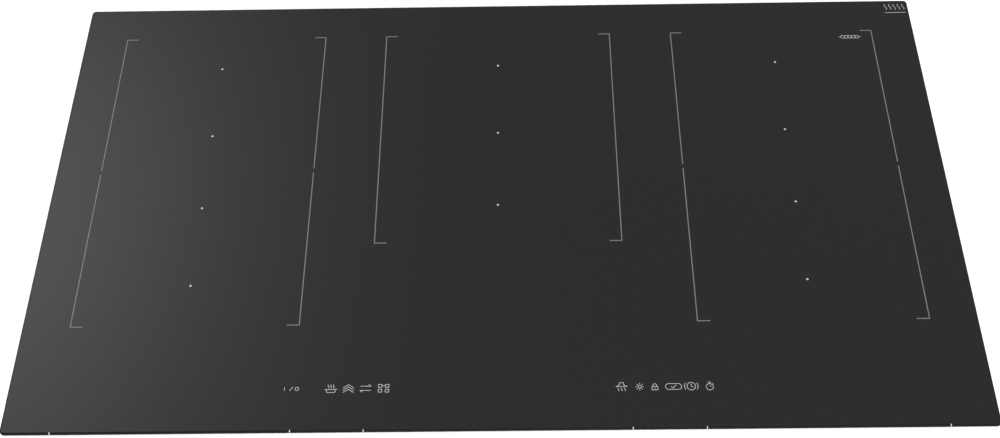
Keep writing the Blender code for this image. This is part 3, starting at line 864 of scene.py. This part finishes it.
def make_tray(steel):
    """Deep-drawn tray of one sheet, lofted up its outside and down its inside, then pierced."""
    low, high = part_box("base_tray")
    tight = BEND - SHEET
    bends = [math.pi / 2 * i / BEND_STEPS for i in range(BEND_STEPS + 1)]

    def pan(inset):
        return rounded(low.x + inset, high.x - inset, low.y + inset, high.y - inset, TRAY_CORNER - inset)

    def belly(inset):
        return rounded(-BELLY_X + inset, BELLY_X - inset, BELLY_FRONT + inset, BELLY_REAR - inset,
                       TRAY_CORNER - inset)

    def foot(outline, height, radius):
        """Bend between a floor and the wall that rises from it."""
        return [(outline(BEND - radius * math.sin(a)), height - radius * math.cos(a)) for a in bends]

    def brow(radius):
        """Bend between the belly's wall and the pan's floor."""
        floor = STEP_Z - tight
        return [(belly(radius * math.cos(a) - tight), floor + radius * math.sin(a)) for a in bends]

    rim = STEP_Z + BEND
    outside = foot(belly, BEND, BEND) + brow(tight) + foot(pan, rim, BEND) + [(pan(0.0), high.z)]
    inside = foot(belly, BEND, tight) + brow(BEND) + foot(pan, rim, tight) + [(pan(SHEET), high.z)]
    tray = piece("tray_shell", [loft(outside + inside[::-1])], steel)
    cuts = []
    for x in REGION_X:
        cuts += fan_inlet(x) + air_outlets(x, low.y)
    for name in CLAMPS:
        x, y = clamp_axis(name)
        cuts.append(prism(circle(x, y, CLAMP_HOLE), STEP_Z - SHEET, STEP_Z + 2 * SHEET))
    carve(tray, cuts)
    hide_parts("base_tray")
    for name in CLAMPS:
        x, y = clamp_axis(name)
        piece(f"clamp_collar_{name}", [clamp_collar(x, y)], steel)


def clamp_collar(x, y):
    """Ring drawn up round a clamp screw's hole, with round edges."""
    floor = STEP_Z + SHEET
    top = floor + COLLAR_HEIGHT
    edge = 0.6 * MM
    profile = [(CLAMP_COLLAR + 0.8 * MM, floor), (CLAMP_COLLAR, floor + MM), (CLAMP_COLLAR, top - edge),
               (CLAMP_COLLAR - edge, top), (CLAMP_HOLE + edge, top), (CLAMP_HOLE, top - edge),
               (CLAMP_HOLE, floor)]
    return tube(x, y, profile)


def clamp_axis(name):
    low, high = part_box(f"clamp_screw_{name}")
    return (low.x + high.x) / 2, (low.y + high.y) / 2


def fan_inlet(cx):
    """Parallel slots that together fill a circle under a fan."""
    slots = []
    rows = int(INLET_RADIUS / VENT_PITCH)
    for row in range(-rows, rows + 1):
        y = row * VENT_PITCH
        reach = math.sqrt(INLET_RADIUS ** 2 - y ** 2)
        outline = slot_outline(cx - reach, cx + reach, FAN_Y + y, VENT)
        slots.append(prism(outline, -SHEET, 2 * SHEET))
    return slots


def air_outlets(cx, front):
    """Slots through the pan's front wall and through the belly's floor."""
    slots = []
    for row in range(WALL_VENT_ROWS):
        z = WALL_VENT_Z + row * VENT_PITCH
        for side in (-1, 1):
            x0, x1 = sorted((cx + side * WALL_VENT_X[0], cx + side * WALL_VENT_X[1]))
            slots.append(along_y(prism(slot_outline(x0, x1, z, VENT), front - SHEET, front + 2 * SHEET)))
    for row in range(FLOOR_VENT_ROWS):
        y = FLOOR_VENT_Y - row * FLOOR_VENT_PITCH
        slots.append(prism(slot_outline(cx - FLOOR_VENT_X, cx + FLOOR_VENT_X, y, VENT), -SHEET, 2 * SHEET))
    return slots


# ---- fasteners

def cross_recess(reach, width, top, depth):
    """Two crossed bars that taper towards the bottom of the recess."""
    shells = []
    for along in (0, 1):
        levels = []
        for share, z in ((0.45, top - depth), (1.0, top + depth / 4)):
            half = [(reach * share, width / 2), (-reach * share, width / 2),
                    (-reach * share, -width / 2), (reach * share, -width / 2)]
            levels.append(([(-v, u) if along else (u, v) for u, v in half], z))
        shells.append(loft(levels))
    return shells


def screw_head(radius, height, recess, paint):
    """Mesh of a pan head with a cross recess; it sits on Z = 0 and faces +Z."""
    rim = height * 0.45
    profile = [(radius * 0.97, 0.0), (radius, height * 0.08), (radius, rim)]
    for i in range(1, 6):
        lean = math.pi / 2 * i / 6
        profile.append((radius * (0.62 + 0.38 * math.cos(lean)), rim + (height - rim) * math.sin(lean)))
    profile.append((radius * 0.3, height))
    head = piece("screw_head_master", [turned(0.0, 0.0, profile)], paint)
    for bar in cross_recess(recess, recess * 0.42, height, height * 0.6):
        carve(head, [bar])
    mesh = head.data
    bpy.data.objects.remove(head)
    return mesh


def set_screws(name, head, places):
    """One piece that holds a copy of a screw head at each place, given as a matrix."""
    build = bmesh.new()
    for place in places:
        copy = head.copy()
        copy.transform(place)
        build.from_mesh(copy)
        bpy.data.meshes.remove(copy)
    mesh = bpy.data.meshes.new(name)
    build.to_mesh(mesh)
    build.free()
    mesh.materials.append(head.materials[0])
    shade(mesh)
    place_mesh(name, mesh, CASING)


def facing(x, y, z, direction):
    """Matrix that sets a screw head at a point, with its head towards a direction."""
    return Matrix.Translation((x, y, z)) @ Vector(direction).to_track_quat("Z", "Y").to_matrix().to_4x4()


def make_tray_screws(zinc):
    """Screws through the tray's walls into the rails."""
    low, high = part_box("base_tray")
    head = screw_head(TRAY_SCREW, TRAY_SCREW_HEIGHT, TRAY_SCREW * 0.5, zinc)
    for wall, y, out in (("front", low.y, -1), ("rear", high.y, 1)):
        places = [facing(x, y, TRAY_SCREW_Z, (0, out, 0)) for x in TRAY_SCREW_X]
        set_screws(f"tray_screws_{wall}", head, places)
    for wall, x, out in (("left", low.x, -1), ("right", high.x, 1)):
        places = [facing(x, y, TRAY_SCREW_Z, (out, 0, 0)) for y in TRAY_SCREW_Y]
        set_screws(f"tray_screws_{wall}", head, places)


def thread(x, y, low, high):
    """Outlines of a rolled thread, with their heights, which runs out at the screw's end."""
    levels = []
    rows = int((high - low) / THREAD_PITCH * THREAD_STEPS)
    for row in range(1, rows + 1):
        z = low + (high - low) * row / rows
        fade = min(1.0, (high - z) / THREAD_RUN_OUT)
        outline = []
        for i in range(THREAD_SIDES):
            part = i / THREAD_SIDES
            groove = abs(((z - low) / THREAD_PITCH - part) % 1.0 - 0.5) * 2
            reach = THREAD_RADIUS - THREAD_DEPTH * (1 - groove * fade)
            angle = 2 * math.pi * part
            outline.append((x + reach * math.cos(angle), y + reach * math.sin(angle)))
        levels.append((outline, z))
    return levels


def make_clamp_screws(zinc):
    """Long screws with a rolled thread, a pan head below and a cross recess that faces down."""
    for name in CLAMPS:
        node = f"clamp_screw_{name}"
        low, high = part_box(node)
        x, y = clamp_axis(name)
        radius = (high.x - low.x) / 2
        neck = low.z + CLAMP_HEAD
        head = [(radius * 0.62, low.z), (radius * 0.9, low.z + 0.3 * MM), (radius, low.z + 1.1 * MM),
                (radius, neck - 0.3 * MM), (radius * 0.96, neck), (THREAD_RADIUS, neck)]
        levels = [(circle(x, y, reach, THREAD_SIDES), z) for reach, z in head]
        levels += thread(x, y, neck, high.z)
        screw = piece(f"{node}_threaded", [loft(levels)], zinc, body=f"screw_{name}")
        for bar in cross_recess(CLAMP_RECESS, CLAMP_RECESS_WIDTH, 0.0, CLAMP_RECESS_DEPTH):
            carve(screw, [moved(bar, facing(x, y, low.z, (0, 0, -1)))])
        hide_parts(node)


# ---- seal and coils

def make_seal():
    """Foam strip with a round back, pressed flat against the glass."""
    low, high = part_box("seal_gasket")
    thick = high.z - low.z
    levels = []
    for i in range(9):
        angle = math.pi * i / 8
        inset = SEAL_WIDTH / 2 * (1 - math.cos(angle))
        sink = thick * (1 - 0.55 * (1 - math.sin(angle)) ** 2) if 0 < i < 8 else 0.0
        outline = rounded(low.x + inset, high.x - inset, low.y + inset, high.y - inset,
                          SEAL_CORNER - inset * 0.4)
        levels.append((outline, high.z - sink))
    strip = hoop(stacked(levels), len(levels[0][0]))
    seal = piece("foam_seal", [strip], foam("foam_seal"))
    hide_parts("seal_gasket")


def coil_spiral(cx, cy, straight, wire):
    """Centre line of a flat oval winding, from the core outwards."""
    path = []
    for i in range(COIL_TURNS * COIL_STEPS):
        turn = i / COIL_STEPS
        angle = 2 * math.pi * (turn % 1.0)
        radius = COIL_BORE + wire / 2 + wire * turn * (COIL_TURNS - 1) / COIL_TURNS
        shift = straight if math.cos(angle) >= 0 else -straight
        path.append((cx + shift + radius * math.cos(angle), cy + radius * math.sin(angle)))
    return path


def make_coils(copper):
    """Flat oval windings of round litz wire, each wound as one spiral."""
    flat = math.cos(math.pi / COIL_SIDES)
    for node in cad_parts:
        if not node.startswith("coil_") or node.startswith(("coil_former_", "coil_plate_")):
            continue
        low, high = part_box(node)
        centre = (low + high) / 2
        outer = (high.y - low.y) / 2
        wire = (outer - COIL_BORE) / COIL_TURNS
        path = coil_spiral(centre.x, centre.y, (high.x - low.x) / 2 - outer, wire)
        left, right = sides(path, wire * 0.46, False)
        points = []
        for a, b in zip(left, right):
            for j in range(COIL_SIDES):
                angle = 2 * math.pi * (j + 0.5) / COIL_SIDES
                share = (1 + math.cos(angle) / flat) / 2
                z = centre.z + (high.z - low.z) / 2 * math.sin(angle) / flat
                points.append((a[0] * share + b[0] * (1 - share), a[1] * share + b[1] * (1 - share), z))
        winding = piece(f"{node}_winding", [skin(points, COIL_SIDES)], copper)
        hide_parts(node)


# ---- clamp arms

def arm_stations(width, reach, lift):
    """Distance from the screw, half width and rise of a clamp arm's cross-sections."""
    stations = []
    for i in range(13):
        angle = math.pi / 2 * i / 12
        stations.append((-width * math.cos(angle), max(width * math.sin(angle), 0.4 * MM), 0.0))
    for i in range(9):
        part = i / 8
        start = reach - ARM_PAD - ARM_RISE
        stations.append((start + ARM_RISE * part, width, lift * (3 * part ** 2 - 2 * part ** 3)))
    stations.append((reach - 2.0 * MM, width, lift))
    stations.append((reach - 0.6 * MM, width - 0.6 * MM, lift))
    stations.append((reach, width - 2.0 * MM, lift))
    return stations


def make_clamp_arms(zinc):
    """Stamped strips: a round end on the screw, a joggle, and a raised pad that grips the worktop."""
    for name in CLAMPS:
        node = f"clamp_arm_{name}"
        low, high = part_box(node)
        x, y = clamp_axis(name)
        reach = max(high.y - y, y - low.y)
        sign = 1 if high.y - y > y - low.y else -1
        lift = high.z - low.z - ARM_SHEET
        points = []
        for along, half, up in arm_stations((high.x - low.x) / 2, reach, lift):
            v = y + sign * along
            bottom = low.z + up
            top = bottom + ARM_SHEET
            points += [(x - half, v, bottom), (x + half, v, bottom), (x + half, v, top), (x - half, v, top)]
        arm = piece(f"{node}_stamped", [skin(points, 4)], zinc, body=f"arm_{name}")
        carve(arm, [prism(circle(x, y, CLAMP_HOLE), low.z - ARM_SHEET, high.z)])
        soften(arm, 0.3 * MM)
        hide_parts(node)


# ---- circuit boards

def stand_offs(name, places, low, high, paint):
    """Six-sided spacers with a waist, from the tray's floor to a board."""
    waist = [(SPACER, low), (SPACER, low + 1.2 * MM), (SPACER_WAIST, low + 1.6 * MM),
             (SPACER_WAIST, high - 1.6 * MM), (SPACER, high - 1.2 * MM), (SPACER, high)]
    piece(name, [turned(x, y, waist, 6) for x, y in places], paint)


def can(x, y, radius, low, high):
    """Electrolytic capacitor: a sleeve with a crimp above its foot and a sunken top."""
    profile = [(radius * 0.92, low), (radius, low + 0.8 * MM), (radius, low + 2.2 * MM),
               (radius * 0.90, low + 3.2 * MM), (radius, low + 4.2 * MM), (radius, high - 1.2 * MM),
               (radius * 0.93, high), (radius * 0.80, high), (radius * 0.76, high - 0.6 * MM),
               (radius * 0.2, high - 0.6 * MM)]
    return turned(x, y, profile)


def toroid(x, y, low, high, outer, inner, turns):
    """Ring core and the wire wound round it, as two shells."""
    steps = 12
    middle = (outer + inner) / 2
    core = (outer - inner) / 2 - 2 * CHOKE_WIRE
    half = (high - low) / 2 - 2 * CHOKE_WIRE
    z = (low + high) / 2
    section = [(middle + core, z - half), (middle + core, z + half),
               (middle - core, z + half), (middle - core, z - half)]
    path = []
    for i in range(turns * steps + 1):
        around = 2 * math.pi * 0.92 * i / (turns * steps)
        wrap = 2 * math.pi * i / steps
        out = max(-1.0, min(1.0, 1.25 * math.cos(wrap)))
        up = max(-1.0, min(1.0, 1.25 * math.sin(wrap)))
        radius = middle + (core + CHOKE_WIRE) * out
        rise = (half + CHOKE_WIRE) * up
        path.append((x + radius * math.cos(around), y + radius * math.sin(around), z + rise))
    return tube(x, y, section), swept(path, CHOKE_WIRE, 6)


def film_capacitor(x, y):
    """Box of a film capacitor, raised a little on its two leads."""
    half_x, half_y, height = FILM_CAPACITOR
    body = block(x - half_x, x + half_x, y - half_y, y + half_y, BOARD_TOP + 0.6 * MM, BOARD_TOP + height)
    lead = [(0.5 * MM, BOARD_TOP - 0.2 * MM), (0.5 * MM, BOARD_TOP + MM)]
    return [body] + [turned(x, y + side * FILM_LEAD, lead, 8) for side in (-1, 1)]


def relay(x, y):
    half_x, half_y, height = RELAY
    return block(x - half_x, x + half_x, y - half_y, y + half_y, BOARD_TOP, BOARD_TOP + height)


def make_power_boards(looks):
    """In each region a board on four spacers, with its capacitors, chokes and relays."""
    head = screw_head(2.8 * MM, 1.8 * MM, 1.4 * MM, looks["zinc"])
    for region, cx in zip(REGIONS, REGION_X):
        node = f"power_board_{region}"
        low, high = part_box(node)
        panel = block(low.x, high.x, low.y, high.y, BOARD_LOW, BOARD_TOP, 0.002)
        board = piece(f"{node}_panel", [panel], looks["board"], bevel=0.0002)
        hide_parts(node)
        corners = [(x, y) for x in (low.x + BOARD_MARGIN, high.x - BOARD_MARGIN)
                   for y in (low.y + BOARD_MARGIN, high.y - BOARD_MARGIN)]
        stand_offs(f"board_spacers_{region}", corners, low.z, BOARD_LOW, looks["white"])
        screws = [Matrix.Translation((x, y, BOARD_TOP)) for x, y in corners]
        set_screws(f"board_screws_{region}", head, screws)
        films = []
        for x in (cx - FILM_X, cx + FILM_X):
            for y in FILM_Y:
                films += film_capacitor(x, y)
        piece(f"film_capacitors_{region}", films, looks["film"], bevel=0.0006)
        cans = [can(cx, y, CAN_RADIUS, BOARD_TOP, BOARD_TOP + CAN_HEIGHT) for y in CAN_Y]
        piece(f"electrolytics_{region}", cans, looks["sleeve"])
        chokes = [toroid(x, CHOKE_Y, BOARD_TOP + 0.4 * MM, BOARD_TOP + 15 * MM, 13.8 * MM, 6 * MM, 26)
                  for x in (cx - CHOKE_X, cx + CHOKE_X)]
        cores, wires = zip(*chokes)
        piece(f"choke_cores_{region}", cores, looks["ferrite"], bevel=0.0005)
        piece(f"choke_wires_{region}", wires, looks["copper"])
        relays = [relay(x, RELAY_Y) for x in (cx - RELAY_X, cx + RELAY_X)]
        piece(f"relays_{region}", relays, looks["black"], bevel=0.0007)


def make_filter_board(looks):
    """Mains filter board, with two ring chokes and a row of capacitors."""
    low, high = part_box("filter_board")
    floor = STEP_Z + SHEET + FILTER_SPACER
    top = floor + BOARD_TOP - BOARD_LOW
    panel = block(low.x, high.x, low.y, high.y, floor, top, 0.002)
    board = piece("filter_board_panel", [panel], looks["board"], bevel=0.0002)
    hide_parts("filter_board")
    margin_x, margin_y = FILTER_MARGIN
    corners = [(x, y) for x in (low.x + margin_x, high.x - margin_x)
               for y in (low.y + margin_y, high.y - margin_y)]
    stand_offs("filter_spacers", corners, low.z, floor, looks["white"])
    chokes = [toroid(x, FILTER_CHOKE_Y, top + 0.4 * MM, high.z, 11.5 * MM, 5 * MM, 20)
              for x in FILTER_CHOKE_X]
    cores, wires = zip(*chokes)
    piece("filter_choke_cores", cores, looks["ferrite"], bevel=0.0004)
    piece("filter_choke_wires", wires, looks["copper"])
    y = FILTER_CAPACITOR_Y
    films = [block(x - u, x + u, y - v, y + v, top, top + 10 * MM) for x, u, v in FILTER_CAPACITORS]
    piece("filter_capacitors", films, looks["film"], bevel=0.0006)


def key_spring(x, low, high):
    """Coil spring that carries a touch key's field up to the glass."""
    steps = 14
    path = []
    for i in range(KEY_TURNS * steps + 1):
        angle = 2 * math.pi * i / steps
        z = low + (high - low) * i / (KEY_TURNS * steps)
        path.append((x + KEY_SPRING * math.cos(angle), KEY_Y + KEY_SPRING * math.sin(angle), z))
    return swept(path, KEY_WIRE, 6)


def make_touch_board(looks):
    """Key and display board: a contact spring at each symbol, and a row of displays."""
    low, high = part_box("touch_board")
    top = low.z + BOARD_TOP - BOARD_LOW
    panel = block(low.x, high.x, low.y, high.y, low.z, top)
    board = piece("touch_board_panel", [panel], looks["board"], bevel=0.0002)
    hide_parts("touch_board")
    springs = [key_spring(x, top + 0.4 * MM, high.z - 0.4 * MM) for _, x, _ in KEY_LEGENDS]
    piece("key_springs", springs, looks["zinc"])
    half_x, half_y = DISPLAY
    displays = []
    for i in range(DISPLAYS):
        x = (i - (DISPLAYS - 1) / 2) * DISPLAY_PITCH
        displays.append(block(x - half_x, x + half_x, DISPLAY_Y - half_y, DISPLAY_Y + half_y, top, high.z))
    piece("key_displays", displays, looks["black"], bevel=0.0004)


# ---- terminal box details

def make_terminal_details(looks):
    """Screws of the terminals and of the cord clamp, and finger ribs on the cover."""
    low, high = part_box("terminal_block")
    pole = (high.x - low.x) / POLES
    places = [facing(low.x + (i + 0.5) * pole, y, TERMINAL_SCREW_Z, (0, 0, -1))
              for i in range(POLES) for y in TERMINAL_SCREW_Y]
    head = screw_head(2.1 * MM, 1.2 * MM, 1.1 * MM, looks["brass"])
    set_screws("terminal_screws", head, places)
    low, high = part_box("cord_clamp")
    centre = (low + high) / 2
    grips = [facing(centre.x + side * CORD_SCREW_X, centre.y, low.z, (0, 0, -1)) for side in (-1, 1)]
    head = screw_head(2.6 * MM, 1.4 * MM, 1.3 * MM, looks["zinc"])
    set_screws("cord_clamp_screws", head, grips)
    low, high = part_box("terminal_cover")
    ribs = []
    for i in range(FINGER_RIBS):
        x = (low.x + high.x) / 2 + (i - (FINGER_RIBS - 1) / 2) * FINGER_RIB_PITCH
        ribs.append(block(x - 0.6 * MM, x + 0.6 * MM, low.y + 3 * MM, low.y + 13 * MM, 0.5 * MM, 1.2 * MM,
                          0.5 * MM))
    piece("cover_finger_ribs", ribs, looks["grey"], body="terminal_lid", bevel=0.0002)


# ---- finishes of the CAD nodes

def make_looks():
    """Finishes that several pieces share, each made once."""
    return {
        "steel": galvanised("steel_tray"),
        "zinc": brushed("zinc_plated", (0.50, 0.51, 0.50), 2, 0.3),
        "brass": brushed("brass_terminal", (0.62, 0.49, 0.26), 2, 0.3),
        "rail": brushed("steel_rail", (0.42, 0.43, 0.44), 0, 0.38),
        "sheet": brushed("aluminium_sheet", (0.70, 0.71, 0.72), 1),
        "sink": brushed("aluminium_extruded", (0.70, 0.71, 0.72), 1, 0.3),
        "copper": litz("coil_copper"),
        "board": circuit_board("board_green"),
        "black": moulded("plastic_black", (0.03, 0.03, 0.032)),
        "grey": moulded("plastic_grey", (0.16, 0.165, 0.17)),
        "white": moulded("plastic_white", (0.70, 0.70, 0.68)),
        "former": moulded("plastic_former", (0.04, 0.04, 0.043)),
        "film": moulded("capacitor_film", (0.62, 0.47, 0.18), 0.42),
        "sleeve": moulded("capacitor_sleeve", (0.025, 0.04, 0.09), 0.32),
        "ferrite": moulded("ferrite", (0.07, 0.065, 0.06), 0.6),
        "mica": mica("mica_sheet"),
    }


def finish_nodes(looks):
    """Gives every CAD node that stays in view its finish, and its moulded or bent edges a small radius."""
    finishes = {
        "frame_rail_": ("rail", 0.0003), "coil_plate_": ("sheet", 0.0003),
        "heat_sink_": ("sink", 0.0002), "fan_housing_": ("black", 0.0005),
        "fan_rotor_": ("black", 0.0002), "terminal_box": ("grey", 0.0004),
        "terminal_cover": ("grey", 0.0004), "cord_clamp": ("grey", 0.0003),
        "terminal_block": ("white", 0.0003), "touch_carrier": ("white", 0.0004),
        "coil_former_": ("former", 0.0003), "insulation_sheet": ("mica", 0.0),
    }
    for name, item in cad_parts.items():
        for start, (look, radius) in finishes.items():
            if name.startswith(start):
                item.data.materials.clear()
                item.data.materials.append(looks[look])
                if radius:
                    soften(item, radius)


make_camera()
make_floor()
make_world()
make_key()
looks = make_looks()
make_glass()
make_print()
make_legends()
make_tray(looks["steel"])
make_tray_screws(looks["zinc"])
make_clamp_screws(looks["zinc"])
make_clamp_arms(looks["zinc"])
make_seal()
make_coils(looks["copper"])
make_power_boards(looks)
make_filter_board(looks)
make_touch_board(looks)
make_terminal_details(looks)
finish_nodes(looks)
bpy.context.scene.view_settings.view_transform = "Standard"
